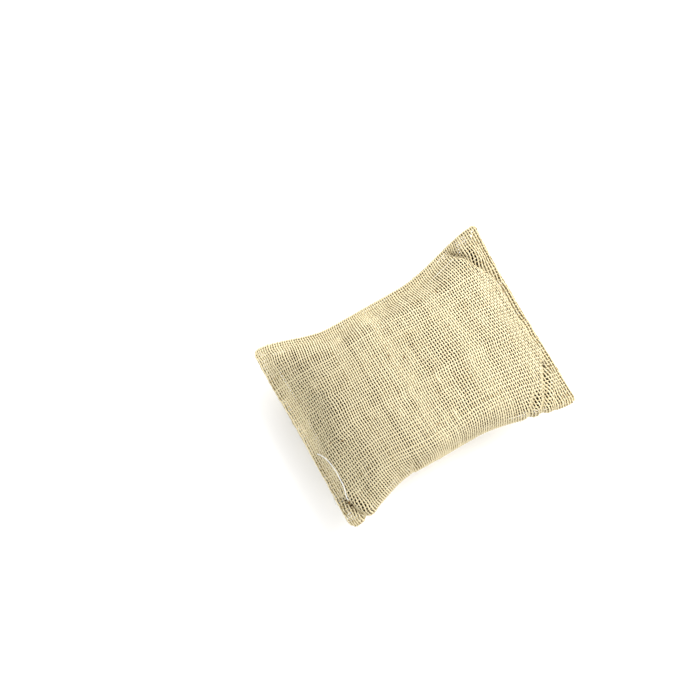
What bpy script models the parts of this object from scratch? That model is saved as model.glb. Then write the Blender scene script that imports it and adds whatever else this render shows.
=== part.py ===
"""A small stuffed ring bearer pillow in open plain-weave burlap.

The cover is one cloth, folded in half and sewn by machine along the side opposite the fold and along
one end, turned, stuffed with fibre and closed by hand at the other end. The pillow lies on its back.
X runs along its length, away from the hand-closed end, Y across it, away from the fold, and Z up. The
origin is on the floor under its middle. All sizes are in metres.
"""

import math

import bmesh
import bpy
from mathutils import Vector

# Driving dimensions of the stuffed pillow
PILLOW_LENGTH = 0.0985  # corner to corner, over the folded edges
PILLOW_WIDTH = 0.0780
SIDE_PULL = 0.0056  # how far the stuffing draws in the middle of a long side
END_PULL = 0.0010  # the same for a short end
FRONT_CROWN = 0.0150  # rise of the front above its own edge
BACK_CROWN = 0.0150  # depth of the back below its own edge, before the floor flattens it
SEAM_HEIGHT = 0.0164  # height of the seams' middle plane above the floor
EMPTY_END = 0.0070  # length at the machine-sewn end that the stuffing leaves flat

# Cloth and seams
CLOTH = 0.0007  # thickness of one layer
FOLD_GAP = 0.0003  # between the cover and its own turned-in allowance
ALLOWANCE = 0.0050  # width of the turned-in seam allowance
SEAM_THREAD = 0.00035  # diameter of the machine thread
CLOSING_THREAD = 0.00045  # diameter of the hand-sewing thread
TOUCH_GAP = 0.0003  # kept between pieces that touch
STITCH_INSET = 0.0018  # from the folded edge to the line of stitching
STUFFING_SETBACK = 0.0006  # from the allowance's inner edge to the stuffing

# How full the pillow is along and across: a higher power keeps the height further out, and a lower
# root makes the sides blunter
LENGTH_POWER, LENGTH_ROOT = 2.6, 0.70
WIDTH_POWER, WIDTH_ROOT = 2.2, 0.76

# The flat corners hang or stand by this much: (end, side) -> height
EAR_START = 0.60  # share of the half length and half width where a corner begins to bend
EARS = {(1, 1): 0.0030, (1, -1): -0.0018, (-1, -1): -0.0012, (-1, 1): 0.0008}

# The slack stretch of the closing thread lies on the front, beside the hand-closed end. It comes out
# of the seam at the first of these shares of the half width and ends in a short tail at the second
SLACK_FROM, SLACK_TO = -0.26, -0.82
SLACK_INSET = 0.0062  # from the edge's line to the thread's straight run
SLACK_BOW = 0.0070  # length of the curve that brings it there
TAIL = 0.0024  # length of the free end, which hangs beside the edge

# Facets
LENGTH_CELLS, WIDTH_CELLS = 26, 18
FOLD_STEPS = 4
NEAR_STEPS = 6

CHANNEL = max(SEAM_THREAD, CLOSING_THREAD) + 2 * TOUCH_GAP  # between the two turned edges
TURN = 2 * CLOTH + FOLD_GAP  # height of one turned edge
EDGE = CHANNEL / 2 + TURN  # from the middle plane to the outside of an edge
HALF_LENGTH = PILLOW_LENGTH / 2 - TURN / 2
FAR_SIDE = PILLOW_WIDTH / 2 - TURN / 2  # the sewn side's line
NEAR_SIDE = PILLOW_WIDTH / 2 - EDGE  # the fold's centre line
SPAN = FAR_SIDE + NEAR_SIDE


def clear_scene():
    for obj in list(bpy.data.objects):
        bpy.data.objects.remove(obj, do_unlink=True)


def smooth(value):
    """0 below 0, 1 above 1, and an even curve between."""
    value = min(max(value, 0.0), 1.0)
    return value * value * (3 - 2 * value)


def grid_lines(count):
    """Shares from -1 to 1, closer together towards both ends, where the cloth turns down."""
    evenly = [2 * i / count - 1 for i in range(count + 1)]
    return [0.4 * t + 0.6 * math.sin(math.pi / 2 * t) for t in evenly]


def ear_bend(p, q):
    """Height of the middle plane, which changes only near the four corners."""
    end, side = (1 if p >= 0 else -1), (1 if q >= 0 else -1)
    along = smooth((abs(p) - EAR_START) / (1 - EAR_START))
    across = smooth((abs(q) - EAR_START) / (1 - EAR_START))
    return EARS[(end, side)] * along * across


def plan(p, q):
    """Where a point of the cover lies in plan, from its shares p of the length and q of the width."""
    x = p * (HALF_LENGTH - END_PULL * (1 - q * q))
    y = (FAR_SIDE - NEAR_SIDE) / 2 + q * (SPAN / 2 - SIDE_PULL * (1 - p * p))
    return x, y


def fullness(p, q):
    """Share of the crown's height: 0 on the edges and on the empty end, 1 in the middle."""
    last = 1 - EMPTY_END / HALF_LENGTH
    along = min(abs(p - (last - 1) / 2) / ((last + 1) / 2), 1.0)
    across = min(abs(q), 1.0)
    return (1 - along**LENGTH_POWER) ** LENGTH_ROOT * (1 - across**WIDTH_POWER) ** WIDTH_ROOT


def outer_face(p, q, up):
    """The outside of the cover at (p, q): its front for up = 1, its back for up = -1."""
    x, y = plan(p, q)
    crown = FRONT_CROWN if up > 0 else BACK_CROWN
    z = SEAM_HEIGHT + ear_bend(p, q) + up * (EDGE + crown * fullness(p, q))
    return Vector((x, y, max(z, 0.0)))


def face_normal(p, q, up, step=0.01):
    """The direction straight out of the cover at (p, q), from the slopes of its outside."""
    along = outer_face(p + step, q, up) - outer_face(p - step, q, up)
    across = outer_face(p, q + step, up) - outer_face(p, q - step, up)
    return along.cross(across).normalized() * up


def edge_point(p, q, out, height):
    """A point beside the edge point (p, q): out from its line in plan, and along its own height.

    The near side has no seam, so there the plan stays as it is and only the ends move.
    """
    x, y = plan(p, q)
    near = plan(p, -1)[1]
    grow_x, grow_y = 1 + out / HALF_LENGTH, 1 + out / SPAN
    inner_q = min(-1 + (q + 1) * grow_y, 1.0)
    bend = ear_bend(p * min(grow_x, 1.0), inner_q)
    y = near + (y - near) * grow_y
    return Vector((x * grow_x, y + height[0], SEAM_HEIGHT + bend + height[1]))


def finish(obj, collection, colour, roughness):
    """Gives a piece its own material and puts it in the pillow's collection."""
    material = bpy.data.materials.new(obj.name)
    material.use_nodes = True
    shader = material.node_tree.nodes["Principled BSDF"]
    shader.inputs["Base Color"].default_value = (*colour, 1.0)
    shader.inputs["Roughness"].default_value = roughness
    shader.inputs["Metallic"].default_value = 0.0
    obj.data.materials.append(material)
    collection.objects.link(obj)
    return obj


def cover_rows():
    """The cloth's rows from the front's sewn side round the fold to the back's: (q, tilt)."""
    across = grid_lines(WIDTH_CELLS)
    front = [(q, 0.0) for q in reversed(across)]
    fold = [(-1.0, math.pi * step / NEAR_STEPS) for step in range(1, NEAR_STEPS)]
    back = [(q, math.pi) for q in across]
    return front + fold + back


def cover(name):
    """One cloth: both faces, the fold between them, and the turned-in allowance on its whole rim."""
    rows, columns = cover_rows(), grid_lines(LENGTH_CELLS)
    shape = bmesh.new()
    bmesh.ops.create_grid(shape, x_segments=LENGTH_CELLS, y_segments=len(rows) - 1, size=1)
    share = shape.verts.layers.float_vector.new("share")
    for vert in shape.verts:
        p = columns[round((vert.co.x + 1) / 2 * LENGTH_CELLS)]
        q, tilt = rows[round((vert.co.y + 1) / 2 * (len(rows) - 1))]
        vert[share] = (p, q, tilt)
        if 0 < tilt < math.pi:
            vert.co = edge_point(p, q, 0, (-EDGE * math.sin(tilt), EDGE * math.cos(tilt)))
        else:
            vert.co = outer_face(p, q, 1 if tilt == 0 else -1)
    rim = [edge for edge in shape.edges if edge.is_boundary]
    turns = [math.pi * step / FOLD_STEPS for step in range(1, FOLD_STEPS + 1)]
    middle = EDGE - TURN / 2
    profile = [(TURN / 2 * math.sin(t), middle + TURN / 2 * math.cos(t)) for t in turns]
    for out, height in profile + [(-ALLOWANCE, CHANNEL / 2)]:
        new = bmesh.ops.extrude_edge_only(shape, edges=rim)["geom"]
        for vert in (item for item in new if isinstance(item, bmesh.types.BMVert)):
            p, q, tilt = vert[share]
            lean = (-height * math.sin(tilt), height * math.cos(tilt))
            vert.co = edge_point(p, q, out, lean)
        rim = [item for item in new if isinstance(item, bmesh.types.BMEdge)]
    bmesh.ops.recalc_face_normals(shape, faces=shape.faces)
    top = max(shape.faces, key=lambda face: face.calc_center_median().z)
    if top.normal.z < 0:
        bmesh.ops.reverse_faces(shape, faces=shape.faces)
    obj = mesh_object(name, shape)
    cloth = obj.modifiers.new("cloth thickness", "SOLIDIFY")
    cloth.thickness = CLOTH
    cloth.offset = -1
    return obj


def mesh_object(name, shape):
    mesh = bpy.data.meshes.new(name)
    shape.to_mesh(mesh)
    shape.free()
    mesh.shade_smooth()
    return bpy.data.objects.new(name, mesh)


def stuffing(name):
    """The wad of fibre: it lines both faces from inside and stops short of the allowances."""
    inset = ALLOWANCE + STUFFING_SETBACK
    left = -1 + inset / HALF_LENGTH
    right = 1 - (EMPTY_END + inset) / HALF_LENGTH
    far = 1 - 2 * inset / (SPAN - 2 * SIDE_PULL)
    columns = [p for p in grid_lines(LENGTH_CELLS) if left <= p <= right]
    rows = [q for q in grid_lines(WIDTH_CELLS) if q <= far]
    depth = CLOTH + TOUCH_GAP
    shape = bmesh.new()
    counts = len(columns) - 1, len(rows) - 1
    bmesh.ops.create_grid(shape, x_segments=counts[0], y_segments=counts[1], size=1)
    share = shape.verts.layers.float_vector.new("share")
    for vert in shape.verts:
        p = columns[round((vert.co.x + 1) / 2 * counts[0])]
        q = rows[round((vert.co.y + 1) / 2 * counts[1])]
        vert[share] = (p, q, 0)
        vert.co = outer_face(p, q, -1) - face_normal(p, q, -1) * depth
    faces = list(shape.faces)
    front = bmesh.ops.extrude_face_region(shape, geom=faces, use_keep_orig=True)["geom"]
    for vert in (item for item in front if isinstance(item, bmesh.types.BMVert)):
        p, q, _ = vert[share]
        vert.co = outer_face(p, q, 1) - face_normal(p, q, 1) * depth
    bmesh.ops.recalc_face_normals(shape, faces=shape.faces)
    return mesh_object(name, shape)


def thread(name, points, width):
    """A thread as a round tube along these points, closed at both ends."""
    curve = bpy.data.curves.new(name, "CURVE")
    curve.dimensions = "3D"
    curve.bevel_depth = width / 2
    curve.bevel_resolution = 2
    curve.use_fill_caps = True
    line = curve.splines.new("POLY")
    line.points.add(len(points) - 1)
    for point, place in zip(line.points, points):
        point.co = (*place, 1)
    return bpy.data.objects.new(name, curve)


def stitch_point(p, q):
    """Half way between the two turned edges, on the line of stitching beside (p, q)."""
    inset = STITCH_INSET - TURN / 2
    outer = edge_point(p, q, 0, (0, 0))
    inner = edge_point(p, q, -ALLOWANCE, (0, 0))
    return outer.lerp(inner, inset / ALLOWANCE)


def long_seam_route():
    return [stitch_point(p, 1) for p in grid_lines(LENGTH_CELLS)[1:-1]]


def end_seam_route():
    return [stitch_point(1, q) for q in grid_lines(WIDTH_CELLS)[1:-1]]


def over_edge(q, clear):
    """Out of the seam at the hand-closed end, and over the front's turned edge, clear of it."""
    middle, radius = EDGE - TURN / 2, TURN / 2 + clear
    route = [edge_point(-1, q, 0, (0, 0)), edge_point(-1, q, radius, (0, 0))]
    for step in range(1, FOLD_STEPS):
        turn = math.pi / 2 * (1 - step / FOLD_STEPS)
        route.append(edge_point(-1, q, radius * math.sin(turn), (0, middle + radius * math.cos(turn))))
    return route


def on_front(inset, q, clear):
    """A point on the front, this far in from the hand-closed end's line."""
    p = -1 + inset / HALF_LENGTH
    return outer_face(p, q, 1) + face_normal(p, q, 1) * clear


def closing_route():
    """Along the hand-closed end, out over the edge, in a bow onto the front, and off as a tail."""
    clear = CLOSING_THREAD / 2 + TOUCH_GAP
    first = [q for q in reversed(grid_lines(WIDTH_CELLS)[:-1]) if q > SLACK_FROM + 0.02]
    route = [stitch_point(-1, q) for q in first] + over_edge(SLACK_FROM, clear)
    bow, half = SLACK_BOW / (SPAN / 2), 8
    for step in range(half + 1):
        turn = math.pi / 2 * step / half
        inset = SLACK_INSET * math.sin(turn)
        route.append(on_front(inset, SLACK_FROM - bow * (1 - math.cos(turn)), clear))
    run = 10
    start = SLACK_FROM - bow
    for step in range(1, run + 1):
        q = start + (SLACK_TO - start) * step / run
        inset = SLACK_INSET * (1 - 0.35 * smooth((step / run - 0.5) * 2))
        route.append(on_front(inset, q, clear))
    for step in range(1, 4):
        route.append(on_front(SLACK_INSET * 0.65 * (1 - step / 3), SLACK_TO, clear))
    route += reversed(over_edge(SLACK_TO, clear)[1:])
    return route + [route[-1] + Vector((0, -TAIL * share, -TAIL * share**2)) for share in (0.5, 1)]


def build():
    clear_scene()
    collection = bpy.data.collections.new("ring_bearer_pillow")
    bpy.context.scene.collection.children.link(collection)
    burlap, fibre = (0.74, 0.62, 0.40), (0.80, 0.74, 0.62)
    ecru, white = (0.76, 0.66, 0.46), (0.92, 0.91, 0.88)
    finish(cover("burlap_cover"), collection, burlap, 0.95)
    finish(stuffing("fibre_stuffing"), collection, fibre, 1.0)
    finish(thread("long_seam_thread", long_seam_route(), SEAM_THREAD), collection, ecru, 0.8)
    finish(thread("end_seam_thread", end_seam_route(), SEAM_THREAD), collection, ecru, 0.8)
    finish(thread("closing_thread", closing_route(), CLOSING_THREAD), collection, white, 0.7)


build()
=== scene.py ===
import math

import bpy
import numpy as np
from mathutils import Matrix, Vector


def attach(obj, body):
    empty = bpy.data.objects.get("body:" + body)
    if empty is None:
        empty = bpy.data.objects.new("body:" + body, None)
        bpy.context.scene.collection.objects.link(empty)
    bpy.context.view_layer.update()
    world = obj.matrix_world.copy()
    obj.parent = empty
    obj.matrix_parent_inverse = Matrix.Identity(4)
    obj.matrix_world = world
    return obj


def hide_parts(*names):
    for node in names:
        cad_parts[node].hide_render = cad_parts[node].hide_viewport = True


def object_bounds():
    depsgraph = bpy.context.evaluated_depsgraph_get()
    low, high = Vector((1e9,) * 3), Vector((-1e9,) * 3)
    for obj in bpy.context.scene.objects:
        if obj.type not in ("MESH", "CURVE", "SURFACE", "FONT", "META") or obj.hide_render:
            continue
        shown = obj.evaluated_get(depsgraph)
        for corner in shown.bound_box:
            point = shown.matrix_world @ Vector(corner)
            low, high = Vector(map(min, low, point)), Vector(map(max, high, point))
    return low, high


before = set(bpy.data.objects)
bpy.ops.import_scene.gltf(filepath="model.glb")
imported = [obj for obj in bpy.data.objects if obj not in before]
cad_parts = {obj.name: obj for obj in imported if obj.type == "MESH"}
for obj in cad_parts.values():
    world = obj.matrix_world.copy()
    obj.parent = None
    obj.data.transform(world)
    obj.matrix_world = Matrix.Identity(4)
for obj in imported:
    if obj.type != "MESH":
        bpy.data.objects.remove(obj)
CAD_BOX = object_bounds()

# ---------------------------------------------------------------------------------------------
# The cover's shape. The cover is one rectangle of burlap, folded in half and sewn up on three
# sides. It starts here as the flat sewn case, and a cloth simulation stuffs it, which draws in the
# long sides and leaves flat corners. The other pieces are laid on the shape that comes out.
# ---------------------------------------------------------------------------------------------

CASE_LENGTH, CASE_WIDTH = 0.1015, 0.0800  # flat sewn case, edge to fold
FOLD_RADIUS = 0.0030  # the fold stays this round, since thick cloth doesn't crease
END_BOW, SIDE_BOW = 0.030, -0.045  # shares by which the cut bows out at the ends and in at the sides
CELLS_LONG, CELLS_ACROSS, CELLS_FOLD = 84, 66, 6
LIP_CELLS = 2  # width of the sewn lip, in cells
STUFFING_VOLUME = 0.110  # litres
SWELL_FRAMES = 40
SIM_SCALE = 10.0  # the solver works best on a cover about a metre long
LIP_HALF = 0.00085  # from the middle of the lip to the middle of its outer cloth
CORNERS = {  # (end, side): how far the stuffing stays back along and across, and how much it hangs
    (-1, -1): (0.007, 0.014, -0.0012),
    (-1, 1): (0.003, 0.003, 0.0006),
    (1, -1): (0.017, 0.020, -0.0012),
    (1, 1): (0.014, 0.025, 0.0034),
}
# radius of each corner's tip
CORNER_ROUND = {(-1, -1): 0.0026, (-1, 1): 0.0034, (1, -1): 0.0009, (1, 1): 0.0009}
BODY_HEIGHT = 0.0318  # of the stuffed cloth, before its creases and corners
LEFT_SLOPE = 0.32  # the body is this share lower towards the hand-closed end
SEWN_SIDE_PULL, FOLD_SIDE_PULL, END_PULL = 0.0067, 0.0070, 0.0004  # of the stuffed edges
EDGE_WOBBLE = 0.00015  # how far the end seams wander
RESTING_PATCH = 0.0012  # the underside flattens up to this height
EVENING_PASSES, CALM_PASSES = 4, 150  # burlap is too stiff for creases as sharp as thin cloth's
YARN_REACH = 0.00045  # how far the yarns stand out from the middle of the cloth
EDGE_RADIUS = 0.00030  # of the turned edge
TURNED_WIDTH = 0.0045  # of the allowance inside it
TURNED_LINES = 8  # grid lines that an allowance adds
CORNER_TRIM = 0.04  # share of the allowance that is left at a corner
CREASES = (  # start and end (along from the left end, across from the sewn side), depth, half width
    ((0.0875, 0.0015), (0.1000, 0.0240), 0.0024, 0.0017),  # body's foot beside the far right ear
    ((0.0992, 0.0230), (0.0990, 0.0580), 0.0009, 0.0012),  # along the right lip
    ((0.0880, 0.0795), (0.0990, 0.0590), 0.0020, 0.0014),  # beside the near right ear
    ((0.0826, 0.0800), (0.0885, 0.0690), 0.0015, 0.0010),  # fold that runs in from that ear
    ((0.0925, 0.0800), (0.0960, 0.0730), 0.0006, 0.0009),
    ((0.0068, 0.0800), (0.0012, 0.0655), 0.0018, 0.0010),  # tuck across the near left corner
    ((0.0100, 0.0800), (0.0040, 0.0660), -0.0006, 0.0014),
    ((0.0310, 0.0800), (0.0328, 0.0735), 0.0008, 0.0010),  # pucker in the fold
)


def smooth(x):
    """0 below 0, 1 above 1, and the even S curve 3x^2 - 2x^3 between."""
    x = np.clip(x, 0.0, 1.0)
    return x * x * (3 - 2 * x)


def soft_noise(rng, rows, cols, x, y):
    """Smooth random field: normal numbers on a rows by cols lattice, blended by S curves at (x, y).

    x and y run from 0 to 1 across the lattice, and are arrays of one shape.
    """
    knots = rng.normal(size=(rows + 1, cols + 1))
    a, b = np.clip(x, 0, 1) * rows, np.clip(y, 0, 1) * cols
    i, j = np.minimum(a.astype(int), rows - 1), np.minimum(b.astype(int), cols - 1)
    fa, fb = smooth(a - i), smooth(b - j)
    low = knots[i, j] * (1 - fa) + knots[i + 1, j] * fa
    high = knots[i, j + 1] * (1 - fa) + knots[i + 1, j + 1] * fa
    return low * (1 - fb) + high * fb


def grid_faces(index, turn=False):
    """One quad for each cell of a grid of vertex numbers, wound the other way round if turn."""
    quads = np.stack([index[:-1, :-1], index[:-1, 1:], index[1:, 1:], index[1:, :-1]], -1)
    quads = quads.reshape(-1, 4)
    return quads[:, ::-1] if turn else quads


def flat_case():
    """The flat sewn case as a grid: columns along the length, rows from the front's sewn side
    round the fold to the back's. Returns positions, each row's side coordinate q (1 at the sewn
    side, -1 at the fold), and each point's share u of the length."""
    u = np.linspace(0, 1, CELLS_LONG + 1)
    down = np.linspace(1, -1, CELLS_ACROSS + 1)
    q = np.concatenate([down, -np.ones(CELLS_FOLD - 1), down[::-1]])
    tilt = np.zeros(len(q))
    tilt[len(down) : -len(down)] = np.pi * np.arange(1, CELLS_FOLD) / CELLS_FOLD
    tilt[-len(down) :] = np.pi
    u, q = np.meshgrid(u, q, indexing="ij")
    tilt = np.broadcast_to(tilt, q.shape)
    up = np.cos(tilt).round()
    rng = np.random.default_rng(7)
    radius = FOLD_RADIUS * (0.15 + 0.85 * smooth(np.minimum(u, 1 - u) / 0.12))
    dimple = 1 + 0.1 * np.where(up > 0, soft_noise(rng, 8, 7, u, q / 2 + 0.5), 0)
    dimple += 0.1 * np.where(up < 0, soft_noise(rng, 8, 7, u, q / 2 + 0.5), 0)
    bulge = 0.004 * np.sin(np.pi * u) * np.sqrt(1 - q**2) * dimple
    folding = (tilt > 0) & (tilt < np.pi)
    x = (u - 0.5) * CASE_LENGTH * (1 + END_BOW * (1 - q**2))
    y = q * CASE_WIDTH / 2 * (1 + SIDE_BOW * (1 - (2 * u - 1) ** 2))
    y = y - np.where(folding, radius * np.sin(tilt), 0)
    z = np.where(folding, radius * np.cos(tilt), up * (radius * (1 - q) / 2 + bulge))
    return np.stack([x, y, z], -1), u, q


def stuffing_reach(u, q):
    """Share of the stuffing's push at each point: none at the end seams and in flat corners."""
    reach = smooth(u * CASE_LENGTH / 0.005 + 0.1) * smooth((1 - u) * CASE_LENGTH / 0.007 + 0.1)
    for (end, side), (along, across, _) in CORNERS.items():
        part_along = (u - (end + 1) / 2) * CASE_LENGTH / along
        part_across = (q - side) * CASE_WIDTH / 2 / across
        reach = reach * smooth(np.hypot(part_along, part_across) - 0.25)
    return np.clip(reach, 0.01, 1)


def stuffed(case, u, q):
    """The case after it is stuffed: Cloth with pressure up to a volume, seams held by sewing
    springs between the front's lip and the back's."""
    index = np.arange(u.size).reshape(u.shape)
    lip = np.zeros(u.shape, bool)
    lip[: LIP_CELLS + 1] = lip[-LIP_CELLS - 1 :] = lip[:, : LIP_CELLS + 1] = True
    lip[:, CELLS_ACROSS + 1 :] = False
    sewing = np.stack([index[lip], index[:, ::-1][lip]], -1)
    mesh = bpy.data.meshes.new("case")
    points = (case.reshape(-1, 3) * SIM_SCALE).tolist()
    mesh.from_pydata(points, sewing.tolist(), grid_faces(index).tolist())
    case_object = bpy.data.objects.new("case", mesh)
    bpy.context.scene.collection.objects.link(case_object)
    reach = stuffing_reach(u, q)
    group = case_object.vertex_groups.new(name="stuffing")
    for level in range(20):
        here = (reach > level / 20) & (reach <= (level + 1) / 20)
        group.add(index[here].tolist(), (level + 1) / 20, "REPLACE")
    cloth = case_object.modifiers.new("stuffing", "CLOTH")
    settings = cloth.settings
    settings.quality = 6
    settings.mass = 0.3
    settings.air_damping = 5
    settings.tension_stiffness = settings.compression_stiffness = 40
    settings.tension_damping = settings.compression_damping = settings.shear_damping = 10
    settings.shear_stiffness = 3
    settings.bending_stiffness = 10
    settings.bending_damping = 1
    settings.use_pressure = settings.use_pressure_volume = True
    settings.uniform_pressure_force = 0
    settings.pressure_factor = 20
    settings.vertex_group_pressure = group.name
    settings.use_sewing_springs = True
    settings.effector_weights.gravity = 0
    cloth.collision_settings.use_collision = False
    settings.target_volume = 0.03
    settings.keyframe_insert("target_volume", frame=1)
    settings.target_volume = STUFFING_VOLUME
    settings.keyframe_insert("target_volume", frame=25)
    cloth.point_cache.frame_end = SWELL_FRAMES
    for step in range(1, SWELL_FRAMES + 1):
        bpy.context.scene.frame_set(step)
    result = case_object.evaluated_get(bpy.context.evaluated_depsgraph_get()).data
    points = np.empty(u.size * 3)
    result.vertices.foreach_get("co", points)
    bpy.data.objects.remove(case_object)
    bpy.data.meshes.remove(mesh)
    bpy.context.scene.frame_set(1)
    return points.reshape(*u.shape, 3) / SIM_SCALE


def normals(sheet):
    """Unit normals of a grid surface: the cross product of its two central differences."""
    along, across = np.gradient(sheet, axis=0), np.gradient(sheet, axis=1)
    normal = np.cross(across, along)
    return normal / np.maximum(np.linalg.norm(normal, axis=-1, keepdims=True), 1e-12)


def side_pulls(p):
    """How far the sewn side and the fold are drawn in at each share p of the length: an S curve
    up from one corner and another down to the other."""
    sewn = SEWN_SIDE_PULL * smooth((p + 1) / 0.62) * smooth((1 - p) / 0.75)
    fold = FOLD_SIDE_PULL * smooth((p + 1) / 0.60) * smooth((1 - p) / 0.80)
    return sewn, fold


def evened(sheet, axis, passes):
    """Each inner point moves to the weighted mean 1:2:1 of itself and its neighbours, passes times."""
    sheet = sheet.copy()
    line = np.moveaxis(sheet, axis, 0)
    for _ in range(passes):
        line[1:-1] = (line[:-2] + 2 * line[1:-1] + line[2:]) / 4
    return sheet


def outlined(sheet, u, q, middle, half):
    """Stretches each column between the sewn side's line and the fold's line, and each row between
    the two ends. Close to the fold the cloth is drawn towards it, which makes the fold rounder."""
    fold_row = sheet.shape[1] // 2
    p = 2 * u - 1
    sewn, fold = side_pulls(p)
    far, near = sheet[:, :1, 1], sheet[:, fold_row : fold_row + 1, 1]
    share = (sheet[..., 1] - near) / (far - near)
    share = share * (1 - 0.45 * smooth((1 - np.abs(p)) / 0.3) * np.exp(-np.abs(share) / 0.07))
    high, low = middle[1] + half[1] - sewn, middle[1] - half[1] + fold
    sheet[..., 1] = low + share * (high - low)
    rng = np.random.default_rng(31)
    wobble = EDGE_WOBBLE * soft_noise(rng, 1, 16, u, q / 2 + 0.5)
    left, right = sheet[:1, :, 0], sheet[-1:, :, 0]
    share = (sheet[..., 0] - left) / (right - left)
    reach = half[0] - END_PULL * (1 - q**2) - np.abs(wobble)
    sheet[..., 0] = middle[0] - reach + share * 2 * reach
    for (end, side), radius in CORNER_ROUND.items():
        a = np.clip(1 - (half[0] - end * (sheet[..., 0] - middle[0])) / radius, 0, 1)
        b = np.clip(1 - (half[1] - side * (sheet[..., 1] - middle[1])) / radius, 0, 1)
        sheet[..., 0] -= end * radius * a * (1 - np.sqrt(1 - b**2 / 2))
        sheet[..., 1] -= side * radius * b * (1 - np.sqrt(1 - a**2 / 2))
    return sheet


def creased(sheet, u, q):
    """Presses the creases into the front: a bell curve of the distance from each line, which fades
    out past its ends and at the sewn edges."""
    fold_row = sheet.shape[1] // 2
    front = (np.arange(sheet.shape[1]) <= fold_row + 2)[None, :]
    place = np.stack([u * CASE_LENGTH, (1 - q) / 2 * CASE_WIDTH], -1)
    edge = smooth(place[..., 0] / 0.003) * smooth((CASE_LENGTH - place[..., 0]) / 0.003)
    edge = edge * smooth(place[..., 1] / 0.003) * front
    out = -normals(sheet)
    for start, end, depth, width in CREASES:
        start, way = np.array(start), np.array(end) - np.array(start)
        share = np.clip(((place - start) @ way) / (way @ way), 0, 1)[..., None]
        away = np.linalg.norm(place - start - share * way, axis=-1)
        fade = np.sin(np.pi * (0.28 + 0.66 * share[..., 0]))
        sheet = sheet + out * (depth * fade * edge * np.exp(-((away / width) ** 2)))[..., None]
    return sheet


def settle(sheet, u, q):
    """Evens out sharp creases, brings the edges to their lines and flattens the resting side.

    Burlap is too stiff for the simulation's sharp creases, so points move towards the mean of
    their neighbours, most of all along the fold. Then come the outline, the creases and the edges'
    heights, which go to one plane with hanging corners.
    """
    for _ in range(EVENING_PASSES):
        sheet = evened(evened(sheet, 0, 1), 1, 1)
    calm = evened(sheet, 0, CALM_PASSES)
    near_fold, near_sewn = smooth((0.1 - q) / 0.9)[..., None], smooth((q - 0.5) / 0.5)[..., None]
    sheet = sheet + (calm - sheet) * (0.25 + 0.70 * near_fold + 0.25 * near_sewn)
    frame_low, frame_high = np.array(CAD_BOX[0]), np.array(CAD_BOX[1])
    middle = (frame_low + frame_high) / 2
    half = (frame_high - frame_low) / 2 - LIP_HALF
    sheet = outlined(sheet, u, q, middle, half)
    fold_row = sheet.shape[1] // 2
    p = 2 * u - 1
    heights = sheet[..., 2].copy()
    level = (heights[:, :1] + heights[:, fold_row : fold_row + 1]).mean() / 2
    lifts = (heights[:, :1], heights[:, fold_row : fold_row + 1], heights[:1], heights[-1:])
    shares = ((1 + q) / 2, (1 - q) / 2, 1 - u, u)
    for lift, near_edge in zip(lifts, shares):
        sheet[..., 2] -= (lift - level) * near_edge**4
    thickness = np.ptp(sheet[..., 2])
    low_end = 1 - LEFT_SLOPE * (1 - smooth(u * CASE_LENGTH / 0.022))
    sheet[..., 2] = level + (sheet[..., 2] - level) * low_end * BODY_HEIGHT / thickness
    sheet = creased(sheet, u, q)
    for (end, side), (_, _, hang) in CORNERS.items():
        near = smooth((p * end - 0.6) / 0.4) * smooth((q * side - 0.6) / 0.4)
        sheet[..., 2] += hang * near
    floor = sheet[..., 2].min() + RESTING_PATCH
    sheet[..., 2] = np.maximum(sheet[..., 2], floor) - floor + YARN_REACH + LIP_HALF
    return sheet


def turned_in(sheet, arc, axis, corners):
    """Adds the turned-in allowance along both ends of an axis: three steps of a half circle of
    EDGE_RADIUS, and then a straight run back inside, trimmed short at the corners, which are
    given as grid lines. Returns the sheet and its arc lengths."""
    sheet = np.moveaxis(sheet, axis, 0)
    normal = normals(sheet) * (1 if axis == 0 else -1)
    for last in (False, True):
        line, inner = (sheet[-1], sheet[-3]) if last else (sheet[0], sheet[2])
        face = normal[-1] if last else normal[0]
        out = line - inner
        out = out - face * np.sum(out * face, -1, keepdims=True)
        out /= np.linalg.norm(out, axis=-1, keepdims=True)
        turns = np.radians([60, 120, 180])[:, None, None]
        curl = line + EDGE_RADIUS * (out * np.sin(turns) - face * (1 - np.cos(turns)))
        runs = TURNED_WIDTH * np.array([0.08, 0.2, 0.4, 0.7, 1.0])
        away = np.min([np.abs(np.arange(len(line)) - corner) for corner in corners], axis=0)
        trimmed = (0.08 + 0.92 * smooth((away - 1) / 4))[:, None]
        added = np.concatenate([curl, curl[-1] - out * trimmed * runs[:, None, None]])
        lengths = EDGE_RADIUS * np.pi * np.append(np.arange(1, 4) / 3, np.ones(len(runs)))
        lengths[3:] += runs
        if last:
            sheet = np.concatenate([sheet, added])
            arc = np.append(arc, arc[-1] + lengths)
        else:
            sheet = np.concatenate([added[::-1], sheet])
            arc = np.append((arc[0] - lengths)[::-1], arc)
        normal = normals(sheet) * (1 if axis == 0 else -1)
    return np.moveaxis(sheet, 0, axis), arc


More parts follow.
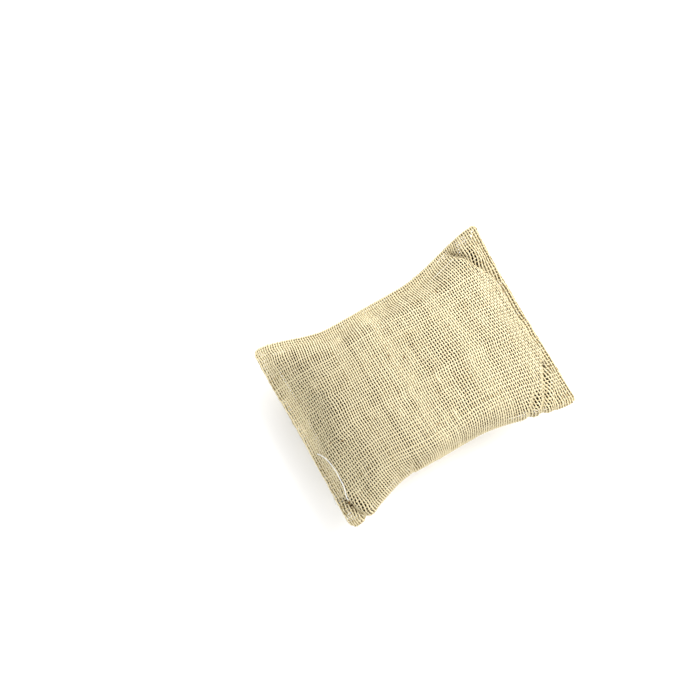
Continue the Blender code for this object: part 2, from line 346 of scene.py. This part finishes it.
case, case_u, case_q = flat_case()
sheet = settle(stuffed(case, case_u, case_q), case_u, case_q)
sheet = sheet + normals(sheet) * LIP_HALF
bare_sheet = sheet.copy()
along_arc = np.linspace(0, CASE_LENGTH, CELLS_LONG + 1)
row_steps = np.linalg.norm(np.diff(case[CELLS_LONG // 2], axis=0), axis=-1)
across_arc = np.append(0, np.cumsum(row_steps)) * CASE_WIDTH / row_steps[:CELLS_ACROSS].sum()
sheet, across_arc = turned_in(sheet, across_arc, 1, (0, CELLS_LONG))
last_row = sheet.shape[1] - 1
end_corners = (TURNED_LINES, last_row // 2, last_row - TURNED_LINES)
sheet, along_arc = turned_in(sheet, along_arc, 0, end_corners)
first_lines, last_lines = slice(None, TURNED_LINES), slice(-TURNED_LINES, None)
for end, edge_line in ((first_lines, TURNED_LINES), (last_lines, -TURNED_LINES - 1)):
    for side in (first_lines, last_lines):
        corner, edge = sheet[end, side], sheet[edge_line, side]
        sheet[end, side] = edge + (corner - edge) * CORNER_TRIM
sheet_normals = normals(sheet)


def on_cloth(field, s, r):
    """A field of the sheet at material coordinates s along and r across, by Catmull-Rom splines.

    Each axis blends four neighbouring grid lines by the cubic weights that pass through them.
    """
    spots = []
    for value, arc in ((s, along_arc), (r, across_arc)):
        place = np.interp(value, arc, np.arange(len(arc)))
        cell = np.clip(place.astype(int), 0, len(arc) - 2)
        t = (place - cell)[..., None]
        weights = (
            (-t + 2 * t**2 - t**3) / 2,
            (2 - 5 * t**2 + 3 * t**3) / 2,
            (t + 4 * t**2 - 3 * t**3) / 2,
            (t**3 - t**2) / 2,
        )
        lines = [np.clip(cell + k, 0, len(arc) - 1) for k in (-1, 0, 1, 2)]
        spots.append(list(zip(lines, weights)))
    return sum(wi * wj * field[i, j] for i, wi in spots[0] for j, wj in spots[1])


# ---------------------------------------------------------------------------------------------
# The burlap cover. Undyed jute and linen yarns, cream to straw, in an open plain weave: each yarn
# goes over one and under the next, its thickness and spacing uneven. The yarns along the pillow
# and the yarns across it, which run on round the fold, are laid on the stuffed shape.
# ---------------------------------------------------------------------------------------------

LONG_PITCH, CROSS_PITCH = 0.00134, 0.00092  # between yarns that run along, and across
WAVE = 0.00013  # rise of a yarn where it goes over another
CROSS_ABOVE = 0.00006  # how far the yarns across lie above the middle of the cloth
YARN_WIDTH_LONG, YARN_WIDTH_CROSS = 0.00027, 0.00028  # half widths, flattened in the cloth
YARN_HEIGHT = 0.00017  # half height
SPREAD = 0.05  # share by which the steps between yarns differ
SHORT_DRIFT, LONG_DRIFT = 0.00013, 0.00016  # how far the crossings wander
STEPS, SIDES = 3, 5  # rings from one crossing to the next, and corners of a ring

long_count = int((across_arc[-1] - across_arc[0]) / LONG_PITCH)
cross_count = int((along_arc[-1] - along_arc[0]) / CROSS_PITCH)
weave_rng = np.random.default_rng(21)


def uneven(count, start, end, spread, rng):
    """Yarn places from start to end: even steps, each longer or shorter by a smooth random share."""
    single = rng.normal(size=count - 1) * 0.6
    grouped = np.repeat(rng.normal(size=count), 6)[: count - 1]
    gaps = 1 + spread * (single + grouped)
    places = np.append(0, np.cumsum(np.clip(gaps, 0.6, 1.5)))
    return start + (end - start) * places / places[-1]


row_places = uneven(long_count, across_arc[0], across_arc[-1], SPREAD, weave_rng)
column_places = uneven(cross_count, along_arc[0], along_arc[-1], SPREAD, weave_rng)
crossing_s, crossing_r = np.meshgrid(column_places, row_places, indexing="ij")
share_s = (crossing_s - along_arc[0]) / (along_arc[-1] - along_arc[0])
share_r = (crossing_r - across_arc[0]) / (across_arc[-1] - across_arc[0])
inside = smooth(share_s * 40) * smooth((1 - share_s) * 40)
inside = inside * smooth(share_r * 60) * smooth((1 - share_r) * 60)
crossing_s = crossing_s + inside * (
    SHORT_DRIFT * soft_noise(weave_rng, 20, 60, share_s, share_r)
    + LONG_DRIFT * soft_noise(weave_rng, 6, 8, share_s, share_r)
)
crossing_r = crossing_r + inside * (
    SHORT_DRIFT * soft_noise(weave_rng, 60, 20, share_s, share_r)
    + LONG_DRIFT * soft_noise(weave_rng, 6, 8, share_s, share_r)
)


def tubes(centre, face, half_width, half_height, sides):
    """Closed yarns carried along centre lines: at each point an ellipse square to the line, wide
    in the cloth's plane. centre and face are (yarns, points, 3); half_width and half_height are
    (yarns, points). Returns vertices, quads, end polygons and a map of (share along, share round)."""
    yarns, points = centre.shape[:2]
    tangent = np.gradient(centre, axis=1)
    tangent /= np.linalg.norm(tangent, axis=-1, keepdims=True)
    side = np.cross(tangent, face)
    side /= np.linalg.norm(side, axis=-1, keepdims=True)
    top = np.cross(side, tangent)
    angle = 2 * np.pi * np.arange(sides) / sides + np.pi / 2
    ring = (
        centre[:, :, None]
        + side[:, :, None] * (half_width[..., None] * np.cos(angle))[..., None]
        + top[:, :, None] * (half_height[..., None] * np.sin(angle))[..., None]
    )
    index = np.arange(yarns * points * sides).reshape(yarns, points, sides)
    after = np.roll(index, -1, axis=2)
    quads = np.stack([index[:, :-1], index[:, 1:], after[:, 1:], after[:, :-1]], -1).reshape(-1, 4)
    ends = np.concatenate([index[:, 0], index[:, -1, ::-1]])
    along = np.broadcast_to(np.linspace(0, 1, points)[None, :, None], index.shape)
    row = np.arange(yarns)[:, None, None]
    strip_edge, strip_width = 0.08, 0.84  # each yarn has a strip of the map, with gaps between
    first = (row + strip_edge + strip_width * np.arange(sides) / sides) / yarns
    second = (row + strip_edge + strip_width * (np.arange(sides) + 1) / sides) / yarns
    first, second = (np.broadcast_to(v, index.shape) for v in (first, second))
    corners = (
        (along[:, :-1], first[:, :-1]),
        (along[:, 1:], first[:, 1:]),
        (along[:, 1:], second[:, 1:]),
        (along[:, :-1], second[:, :-1]),
    )
    quad_map = np.stack([np.stack(corner, -1) for corner in corners], -2).reshape(-1, 2)
    end_along = np.repeat([0.0, 1.0], yarns * sides)
    end_round = np.concatenate([first[:, 0].ravel(), first[:, -1, ::-1].ravel()])
    end_map = np.stack([end_along, end_round], -1)
    return ring.reshape(-1, 3), quads, ends, np.concatenate([quad_map, end_map])


def new_piece(name, vertices, polygons, surface_map=None, shades=None):
    """A mesh object from arrays: vertices, a list of face arrays, a map for every face corner and
    per-vertex shades to colour it by."""
    mesh = bpy.data.meshes.new(name)
    mesh.vertices.add(len(vertices))
    mesh.vertices.foreach_set("co", np.ascontiguousarray(vertices, np.float32).ravel())
    sizes = np.concatenate([np.full(len(p), p.shape[1]) for p in polygons])
    corners = np.concatenate([p.ravel() for p in polygons])
    mesh.loops.add(len(corners))
    mesh.loops.foreach_set("vertex_index", corners.astype(np.int32))
    mesh.polygons.add(len(sizes))
    mesh.polygons.foreach_set("loop_start", (np.cumsum(sizes) - sizes).astype(np.int32))
    mesh.update(calc_edges=True)
    if surface_map is not None:
        layer = mesh.uv_layers.new(name="OFBake")
        layer.data.foreach_set("uv", np.ascontiguousarray(surface_map, np.float32).ravel())
    for label, values in (shades or {}).items():
        attribute = mesh.attributes.new(label, "FLOAT", "POINT")
        attribute.data.foreach_set("value", np.ascontiguousarray(values, np.float32).ravel())
    mesh.shade_smooth()
    piece = bpy.data.objects.new(name, mesh)
    bpy.context.scene.collection.objects.link(piece)
    return piece


def laid_yarns(name, s, r, lift, half_width, numbers):
    """Yarns through the crossings (s, r): the lattice is cut finer between crossings, lifted by
    lift in a cosine wave, and thickened by each yarn's own slubs. Each yarn keeps its own tone,
    which is made deeper where the pillow is flat as painted shade on its flat ends and corners,
    and depth, which is low where it dips under and on its underside, where it paints shade into
    the colour."""
    yarns, crossings = s.shape
    fine = np.linspace(0, crossings - 1, (crossings - 1) * STEPS + 1)
    cell = np.minimum(fine.astype(int), crossings - 2)
    part = fine - cell
    s_fine = s[:, cell] * (1 - part) + s[:, cell + 1] * part
    r_fine = r[:, cell] * (1 - part) + r[:, cell + 1] * part
    wave = lift * np.cos(np.pi * (fine[None] + numbers[:, None])) - math.copysign(CROSS_ABOVE, lift)
    rng = np.random.default_rng(len(name) * 100 + yarns)
    row = np.broadcast_to(np.linspace(0, 1, yarns)[:, None], wave.shape)
    run = np.broadcast_to(np.linspace(0, 1, len(fine))[None], wave.shape)
    slub = soft_noise(rng, yarns, crossings // 4, row, run)
    thick = np.exp(0.07 * rng.normal(size=(yarns, 1)) + 0.10 * slub)
    thick = thick * (1 + 0.35 * smooth((slub - 1.7) / 0.8))
    centre = on_cloth(sheet, s_fine, r_fine)
    face = on_cloth(sheet_normals, s_fine, r_fine)
    centre = centre + face * wave[..., None]
    half_height = YARN_HEIGHT * thick**0.5
    vertices, quads, ends, own_map = tubes(centre, face, half_width * thick, half_height, SIDES)
    tone = 0.6 * rng.normal(size=(yarns, 1))
    tone = tone + 0.55 * soft_noise(rng, yarns, crossings // 6, row, run)
    half_round = (across_arc[0] + across_arc[-1]) / 2
    q_fine = 2 * np.abs(r_fine - half_round) / (half_round - across_arc[TURNED_LINES]) - 1
    flat = 1 - stuffing_reach(np.clip(s_fine / CASE_LENGTH, 0, 1), np.clip(q_fine, -1, 1))
    # painted shade: the yarns are made darker where the pillow is flat, on its ends and corners; the
    # rest of the tone is the yarns' own random tone
    tone = tone - flat - math.copysign(0.35, lift)
    # painted shade: depth makes the colour darker on each yarn's underside and flanks, and where it
    # dips under another yarn
    underside_shade = np.sin(2 * np.pi * np.arange(SIDES) / SIDES + np.pi / 2)
    depth = wave[..., None] / abs(lift) + underside_shade
    shades = {"tone": np.repeat(tone, SIDES), "depth": depth}
    piece = new_piece(name, vertices, [quads, ends], own_map, shades)
    piece.data.materials.append(burlap)
    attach(piece, "root")
    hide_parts("burlap_cover")


class Value:
    """A shader socket that Python's operators work on: each operator adds one Math node."""

    def __init__(self, tree, socket):
        self.tree, self.socket = tree, socket

    def node(self, kind, settings=(), inputs=(), output=0):
        """Adds a node of a type, sets its settings and then its inputs, and returns its output."""
        node = self.tree.nodes.new(kind)
        for key, value in dict(settings).items():
            if key == "stops":
                ramp = node.color_ramp
                while len(ramp.elements) < len(value):
                    ramp.elements.new(0.5)
                for element, (position, colour) in zip(ramp.elements, value):
                    element.position, element.color = position, (*colour, 1)
            else:
                setattr(node, key, value)
        for key, value in dict(inputs).items():
            if isinstance(value, Value):
                self.tree.links.new(value.socket, node.inputs[key])
            else:
                node.inputs[key].default_value = value
        return Value(self.tree, node.outputs[output])

    def maths(self, operation, first, second):
        """One Math node on two values or numbers."""
        return self.node("ShaderNodeMath", {"operation": operation}, {0: first, 1: second})

    def __add__(self, other):
        return self.maths("ADD", self, other)

    __radd__ = __add__

    def __sub__(self, other):
        return self.maths("SUBTRACT", self, other)

    def __rsub__(self, other):
        return self.maths("SUBTRACT", other, self)

    def __mul__(self, other):
        return self.maths("MULTIPLY", self, other)

    __rmul__ = __mul__

    def above(self, level, width):
        """0 below level - width, 1 above level + width, and even between."""
        inputs = {"Value": self, "From Min": level - width, "From Max": level + width}
        return self.node("ShaderNodeMapRange", {"interpolation_type": "SMOOTHSTEP"}, inputs)


def new_material(name, roughness, sheen=0.0):
    """A matt material; returns it, its shader node and a Value to start expressions from."""
    material = bpy.data.materials.new(name)
    material.use_nodes = True
    tree = material.node_tree
    shader = tree.nodes["Principled BSDF"]
    shader.inputs["Roughness"].default_value = roughness
    shader.inputs["Specular IOR Level"].default_value = 0.1
    shader.inputs["Sheen Weight"].default_value = sheen
    return material, shader, Value(tree, None)


def burlap_material(name, light, straw, dark):
    """Colour from each yarn's own tone, bark flecks, and fine fibre streaks along the yarn, with
    painted shade: darker where a yarn dips under, on its underside, and where the pillow is flat.
    """
    material, shader, start = new_material(name, 0.92, 0.04)
    tree = material.node_tree
    tone = start.node("ShaderNodeAttribute", {"attribute_name": "tone"}, output=2)
    depth = start.node("ShaderNodeAttribute", {"attribute_name": "depth"}, output=2)
    place = start.node("ShaderNodeTexCoord", output=3)
    noise = start.node("ShaderNodeTexNoise", {}, {"Vector": place, "Scale": 900.0, "Detail": 3.0})
    patches = start.node("ShaderNodeTexNoise", {}, {"Vector": place, "Scale": 55.0, "Detail": 2.0})
    # painted shade: 0.34 * depth darkens the yarns where they dip under and on their undersides, and
    # the tone darkens them where the pillow is flat
    level = 0.50 + 0.13 * tone + 0.5 * (noise - 0.5) + 0.15 * (patches - 0.5) + 0.34 * depth
    colour = start.node(
        "ShaderNodeValToRGB",
        {"stops": [(0.05, dark), (0.38, straw), (0.72, light)]},
        {"Fac": level},
        output=0,
    )
    bark = start.node("ShaderNodeTexNoise", {}, {"Vector": place, "Scale": 380.0, "Detail": 1.0})
    fleck = bark.above(0.78, 0.02)
    colour = start.node(
        "ShaderNodeMix",
        {"data_type": "RGBA"},
        {0: fleck * 0.8, 6: colour, 7: (0.23, 0.13, 0.05, 1)},
        output=2,
    )
    tree.links.new(colour.socket, shader.inputs["Base Color"])
    bump = start.node("ShaderNodeBump", {}, {"Strength": 0.35, "Distance": 0.00008, "Height": noise})
    tree.links.new(bump.socket, shader.inputs["Normal"])
    return material


cream, straw, shadow = (0.62, 0.545, 0.36), (0.34, 0.255, 0.115), (0.03, 0.016, 0.005)
burlap = burlap_material("burlap", cream, straw, shadow)

long_numbers, cross_numbers = np.arange(long_count), np.arange(cross_count)
front = row_places < across_arc[-1] / 2 + across_arc[0] / 2
left = cross_numbers < cross_count // 2
for name, picked in (("front_long_yarns", front), ("back_long_yarns", ~front)):
    s, r, numbers = crossing_s.T[picked], crossing_r.T[picked], long_numbers[picked]
    laid_yarns(name, s, r, WAVE, YARN_WIDTH_LONG, numbers)
for name, picked in (("left_cross_yarns", left), ("right_cross_yarns", ~left)):
    s, r, numbers = crossing_s[picked], crossing_r[picked], cross_numbers[picked]
    laid_yarns(name, s, r, -WAVE, YARN_WIDTH_CROSS, numbers)

# ---------------------------------------------------------------------------------------------
# The stuffing. Loose fibre wadding, pushed in through the left end and held by the cover. It
# shows only as the dark ground between the yarns, and its surface follows the stuffed shape. Its
# colour is painted shade: near black brown, much darker than the fibre, for the shade in the holes.
# ---------------------------------------------------------------------------------------------

STUFFING_DEPTH = 0.00125  # from the cloth to the wad's surface where the pillow is flat
STUFFING_SLACK = 0.0010  # further in where the pillow is full, where the wad is ragged


def wad():
    """The stuffed shape moved inwards, closed across the sewn side and across both ends."""
    depth = STUFFING_DEPTH + STUFFING_SLACK * stuffing_reach(case_u, case_q)
    inner = bare_sheet - normals(bare_sheet) * depth[..., None]
    trim = LIP_CELLS + 2
    inner = inner[trim:-trim, trim:-trim]
    index = np.arange(inner.shape[0] * inner.shape[1]).reshape(inner.shape[:2])
    ring = np.concatenate([index, index[:, :1]], 1)
    half = index.shape[1] // 2
    caps = [
        np.stack([line[:half], line[1 : half + 1], line[::-1][1 : half + 1], line[::-1][:half]], -1)
        for line in (index[0], index[-1, ::-1])
    ]
    return inner.reshape(-1, 3), [grid_faces(ring)] + caps


wad_vertices, wad_faces = wad()
stuffing = new_piece("stuffing", wad_vertices, wad_faces)
fibre, fibre_shader, start = new_material("wadding", 1.0)
place = start.node("ShaderNodeTexCoord", output=3)
tufts = start.node("ShaderNodeTexNoise", {}, {"Vector": place, "Scale": 700.0, "Detail": 4.0})
# painted shade: the wadding is coloured near black brown for the shade between the yarns, not in the
# fibre's own colour
shaded_fibre = {"stops": [(0.3, (0.008, 0.004, 0.0015)), (0.7, (0.030, 0.017, 0.006))]}
fibre_colour = start.node("ShaderNodeValToRGB", shaded_fibre, {"Fac": tufts})
fibre.node_tree.links.new(fibre_colour.socket, fibre_shader.inputs["Base Color"])
fibre_bump = start.node("ShaderNodeBump", {}, {"Strength": 0.6, "Distance": 0.0003, "Height": tufts})
fibre.node_tree.links.new(fibre_bump.socket, fibre_shader.inputs["Normal"])
stuffing.data.materials.append(fibre)
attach(stuffing, "root")
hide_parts("fibre_stuffing")

# ---------------------------------------------------------------------------------------------
# The machine seams. Ecru spun thread, sewn with the cloth inside out, so that only short bars of
# it show between the two turned edges, along the side opposite the fold and across the right end.
# ---------------------------------------------------------------------------------------------

SEAM_STITCH, SEAM_RISE = 0.0026, 0.00045  # length of a stitch, and its height over the seam
THREAD_PLY = 0.000105  # radius of each of the two plies
PLY_TURN = 0.0011  # length in which they turn once round each other
THREAD_STEP = 0.00015  # between the rings of a strand
STITCH_DRIFT = 40  # steps over which the length of a stitch drifts

seam_middle = (bare_sheet + bare_sheet[:, ::-1]) / 2
long_edge = seam_middle[3:-3, 0] * 0.6 + seam_middle[3:-3, 1] * 0.4
right_edge, left_edge = (
    seam_middle[k, 3 : CELLS_ACROSS - 2] * 0.6 + seam_middle[n, 3 : CELLS_ACROSS - 2] * 0.4
    for k, n in ((-1, -2), (0, 1))
)


def resampled(line):
    """The same polyline with a point at every thread step along it."""
    length = np.append(0, np.cumsum(np.linalg.norm(np.diff(line, axis=0), axis=-1)))
    spots = np.arange(0, length[-1], THREAD_STEP)
    return np.stack([np.interp(spots, length, line[:, k]) for k in range(3)], -1)


def stitched(line, stitch, rise, rng):
    """A thread that goes up and down through a seam: a sine wave on the seam's line, each stitch
    a little longer or shorter."""
    line = resampled(line)
    knots = np.arange(0, len(line) + STITCH_DRIFT, STITCH_DRIFT)
    drift = rng.normal(size=len(line) // STITCH_DRIFT + 2)[: len(knots)]
    steps = 1 + 0.25 * np.interp(np.arange(len(line)), knots, drift)
    phase = np.cumsum(np.clip(steps, 0.6, 1.5)) * THREAD_STEP / stitch * 2 * np.pi
    line[:, 2] += rise * np.sin(phase)
    return line


def twisted(name, lines, ply, material, node_replaced):
    """Threads of two plies: each line is carried by two round strands that turn about it."""
    vertices, quads, ends, maps, count = [], [], [], [], 0
    for line in lines:
        tangent = np.gradient(line, axis=0)
        tangent /= np.linalg.norm(tangent, axis=-1, keepdims=True)
        helper = np.where(np.abs(tangent[:, 2:]) < 0.9, [[0.0, 0, 1]], [[1.0, 0, 0]])
        side = np.cross(tangent, helper)
        side /= np.linalg.norm(side, axis=-1, keepdims=True)
        top = np.cross(side, tangent)
        run = np.append(0, np.cumsum(np.linalg.norm(np.diff(line, axis=0), axis=-1)))
        turn = (run / PLY_TURN * 2 * np.pi)[None, :, None] + np.array([0, np.pi])[:, None, None]
        out = side * np.cos(turn) + top * np.sin(turn)
        width = np.full(out.shape[:2], ply)
        part = tubes(line + out * ply * 0.9, out, width, width, 6)
        vertices.append(part[0])
        quads.append(part[1] + count)
        ends.append(part[2] + count)
        maps.append((part[3][: part[1].size], part[3][part[1].size :]))
        count += len(part[0])
    own_map = np.concatenate([m[0] for m in maps] + [m[1] for m in maps])
    polygons = [np.concatenate(quads), np.concatenate(ends)]
    piece = new_piece(name, np.concatenate(vertices), polygons, own_map)
    piece.data.materials.append(material)
    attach(piece, "root")
    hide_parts(node_replaced)


def thread_material(name, colour, shade):
    """Spun thread: a soft noise between two near colours, with a faint sheen."""
    material, shader, start = new_material(name, 0.7, 0.2)
    place = start.node("ShaderNodeTexCoord", output=3)
    noise = start.node("ShaderNodeTexNoise", {}, {"Vector": place, "Scale": 2500.0, "Detail": 2.0})
    mixed = start.node("ShaderNodeValToRGB", {"stops": [(0.35, shade), (0.65, colour)]}, {"Fac": noise})
    material.node_tree.links.new(mixed.socket, shader.inputs["Base Color"])
    bump = start.node("ShaderNodeBump", {}, {"Strength": 0.3, "Distance": 0.00003, "Height": noise})
    material.node_tree.links.new(bump.socket, shader.inputs["Normal"])
    return material


ecru_thread = thread_material("ecru_thread", (0.52, 0.43, 0.25), (0.38, 0.29, 0.15))
seam_rng = np.random.default_rng(5)
for seam, edge in (("long_seam", long_edge), ("end_seam", right_edge)):
    stitches = [stitched(edge, SEAM_STITCH, SEAM_RISE, seam_rng)]
    name, node = seam + "_stitches", seam + "_thread"
    twisted(name, stitches, THREAD_PLY, ecru_thread, node)

# ---------------------------------------------------------------------------------------------
# The closing thread. White sewing thread that closes the left end by hand after stuffing. One
# stretch of it was left slack: it comes up through the cloth, lies in a bow on the front beside
# the lip and goes down again, and its end hangs out of the seam.
# ---------------------------------------------------------------------------------------------

CLOSING_PLY = 0.00013
CLOSING_STITCH, CLOSING_RISE = 0.0036, 0.00075
SLACK_LIFT = 0.00035  # added to the heights below, to clear the yarns
TAIL_FROM = 0.86  # share of the left edge where the end hangs out
SLACK = (  # along from the closed end, across from the sewn side, height over the cloth
    (0.0024, 0.0490, -0.0006),
    (0.0030, 0.0496, 0.0003),
    (0.0044, 0.0508, 0.0006),
    (0.0057, 0.0532, 0.0007),
    (0.0064, 0.0568, 0.0007),
    (0.0064, 0.0605, 0.0006),
    (0.0060, 0.0642, 0.0007),
    (0.0054, 0.0678, 0.0006),
    (0.0050, 0.0700, 0.0002),
    (0.0048, 0.0708, -0.0007),
)


def slack_line():
    """The slack stretch: its points on the cloth, joined by a smooth curve and laid on the sheet."""
    knots = np.array(SLACK)
    place = np.linspace(0, len(knots) - 1, 220)
    route = np.stack([np.interp(place, np.arange(len(knots)), knots[:, k]) for k in range(3)], -1)
    s, r, height = np.split(evened(route, 0, 120), 3, axis=1)
    s, r = s[:, 0], r[:, 0]
    return on_cloth(sheet, s, r) + on_cloth(sheet_normals, s, r) * (height + SLACK_LIFT)


def tail_line():
    """The thread's end: out of the seam by a straight run, and bent down by a square law."""
    root = left_edge[int(TAIL_FROM * len(left_edge))]
    run = np.linspace(0, 1, 30)[:, None]
    straight, bend = [[-0.0032, -0.0006, 0.0004]], [[0.0016, -0.0024, -0.0006]]
    return root + run * np.array(straight) + run**2 * np.array(bend)


white_thread = thread_material("white_thread", (0.85, 0.85, 0.83), (0.66, 0.66, 0.64))
closing = stitched(left_edge, CLOSING_STITCH, CLOSING_RISE, np.random.default_rng(11))
lines = [closing, resampled(slack_line()), tail_line()]
twisted("closing_stitches", lines, CLOSING_PLY, white_thread, "closing_thread")

# ---------------------------------------------------------------------------------------------
# Loose fibres. The spun jute and linen yarns are hairy: short ends of fibre stand out of them
# all over the cover, held only by the yarns' twist.
# ---------------------------------------------------------------------------------------------

FIBRES = 1500
FIBRE_LENGTH = (0.0008, 0.0028)
FIBRE_RADIUS = 0.000028
FIBRE_ROOT = 0.00030  # height of the roots over the middle of the cloth
FIBRE_LOWEST = 0.00006  # clear of the floor
FIBRE_POINTS = 6


def fibres():
    """Thin hairs: each starts on the cloth, runs off along a random direction in its plane, and
    rises and curls by a square law."""
    rng = np.random.default_rng(3)
    first, last = TURNED_LINES, -TURNED_LINES - 1
    s = rng.uniform(along_arc[first], along_arc[last], FIBRES)
    r = rng.uniform(across_arc[first], across_arc[last], FIBRES)
    root, face = on_cloth(sheet, s, r), on_cloth(sheet_normals, s, r)
    face /= np.linalg.norm(face, axis=-1, keepdims=True)
    way = rng.normal(size=(FIBRES, 3))
    way -= face * np.sum(way * face, -1, keepdims=True)
    way /= np.linalg.norm(way, axis=-1, keepdims=True)
    curl = np.cross(face, way) * rng.normal(size=(FIBRES, 1))
    length = rng.uniform(*FIBRE_LENGTH, (FIBRES, 1, 1))
    rise = rng.uniform(0.05, 0.55, (FIBRES, 1, 1))
    t = np.linspace(0, 1, FIBRE_POINTS)[None, :, None]
    lines = root[:, None] + face[:, None] * (FIBRE_ROOT + length * rise * (t - 0.55 * t**2))
    lines = lines + length * (way[:, None] * t + curl[:, None] * 0.4 * t**2)
    lines[..., 2] = np.maximum(lines[..., 2], FIBRE_LOWEST)
    width = np.full((FIBRES, FIBRE_POINTS), FIBRE_RADIUS) * (1 - 0.6 * t[..., 0])
    return tubes(lines, np.broadcast_to(face[:, None], lines.shape), width, width, 3)


hair_vertices, hair_quads, hair_ends, hair_map = fibres()
hairs = new_piece("loose_fibres", hair_vertices, [hair_quads, hair_ends], hair_map)
hairs.data.materials.append(thread_material("fibre_ends", (0.64, 0.55, 0.35), (0.46, 0.36, 0.18)))
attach(hairs, "root")
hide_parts("burlap_cover")

# ---------------------------------------------------------------------------------------------
# The studio. A pale floor, a bright even room, one large soft light from the right and a
# weaker one from the front, and the camera, which looks down on the pillow.
# ---------------------------------------------------------------------------------------------

white, white_shader, _ = new_material("studio_white", 0.7)
white_shader.inputs["Base Color"].default_value = (0.86, 0.86, 0.86, 1)
white_shader.inputs["Emission Color"].default_value = (1, 0.99, 0.98, 1)
white_shader.inputs["Emission Strength"].default_value = 0.12
bpy.ops.mesh.primitive_plane_add(size=6)
floor = bpy.context.object
floor.name = "floor"
floor.data.materials.append(white)

world = bpy.data.worlds.new("studio")
bpy.context.scene.world = world
world.use_nodes = True
world.node_tree.nodes["Background"].inputs["Color"].default_value = (1.0, 0.995, 0.98, 1)
world.node_tree.nodes["Background"].inputs["Strength"].default_value = 0.88
bpy.context.scene.view_settings.view_transform = "Standard"


def softbox(name, place, size, power):
    """A square area light that faces the origin."""
    lamp = bpy.data.lights.new(name, "AREA")
    lamp.shape, lamp.size, lamp.energy = "SQUARE", size, power
    light = bpy.data.objects.new(name, lamp)
    turn = (-Vector(place)).to_track_quat("-Z", "Y").to_matrix().to_4x4()
    light.matrix_world = Matrix.Translation(place) @ turn
    bpy.context.scene.collection.objects.link(light)


softbox("key_light", (0.75, 0.30, 0.60), 0.9, 20.0)
softbox("fill_light", (-0.20, -0.85, 0.40), 0.8, 5.5)

camera_data = bpy.data.cameras.new("camera")
camera = bpy.data.objects.new("camera", camera_data)
bpy.context.scene.collection.objects.link(camera)
bpy.context.scene.camera = camera
camera_data.lens, camera_data.sensor_width = 85, 36
azimuth, elevation, distance = math.radians(-29.7), math.radians(81.3), 0.6292
target = Vector((-0.0162, 0.0204, 0.016))
level = math.cos(elevation)
direction = Vector((math.sin(azimuth) * level, -math.cos(azimuth) * level, math.sin(elevation)))
turn = direction.to_track_quat("Z", "Y").to_matrix().to_4x4()
camera.matrix_world = Matrix.Translation(target + direction * distance) @ turn
